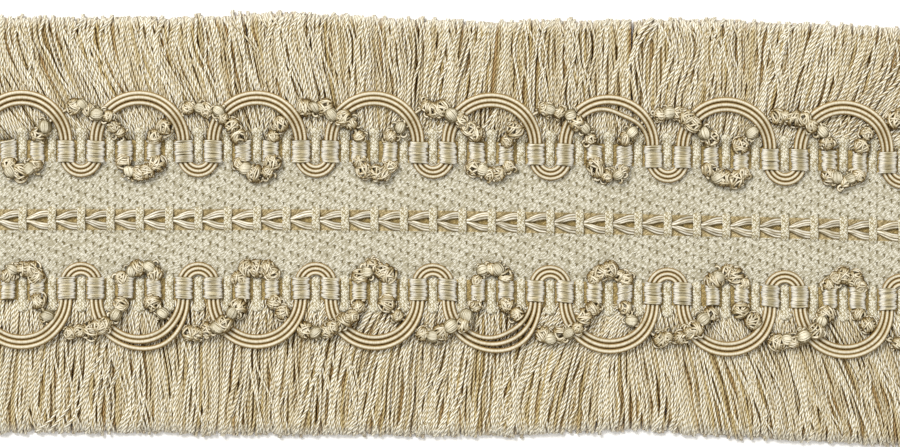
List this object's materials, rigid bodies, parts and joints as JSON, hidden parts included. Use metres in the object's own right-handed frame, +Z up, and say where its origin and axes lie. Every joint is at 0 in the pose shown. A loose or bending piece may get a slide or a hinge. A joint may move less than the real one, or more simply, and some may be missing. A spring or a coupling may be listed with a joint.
{
  "type": "fringed braid trim",
  "caption": "Flat cream braid trim with a chevron centre, ribbed satin bindings, scalloped gimp cords, a knotted yarn and a brush fringe along each edge, lying flat.",
  "frame": {"origin": "middle of the whole trim's box, on its underside", "axes": "+X along the trim, +Y across it towards the upper border, +Z up out of its decorated face"},
  "size_m": [0.2874, 0.1212, 0.0052],
  "materials": {
    "ground": "cream ribbed weave with small tan flecks, matt",
    "satin": "cream viscose satin, silky",
    "gimp": "cream gimp cord, smooth and close wound, soft gloss",
    "knot": "cream knotted yarn, curled and matt with silky beads",
    "fringe": "cream and honey two-ply viscose strands, silky"
  },
  "bodies": {
    "root": {"ground_band": "ground", "binding_upper": "satin", "binding_lower": "satin", "gimp_upper_outer": "gimp", "gimp_upper_middle": "gimp", "gimp_upper_inner": "gimp", "gimp_lower_outer": "gimp", "gimp_lower_middle": "gimp", "gimp_lower_inner": "gimp", "knot_yarn_upper": "knot", "knot_yarn_lower": "knot", "chevron_cord_upper": "gimp", "chevron_cord_lower": "gimp", "fringe_upper": "fringe", "fringe_lower": "fringe"}
  },
  "joints": []
}
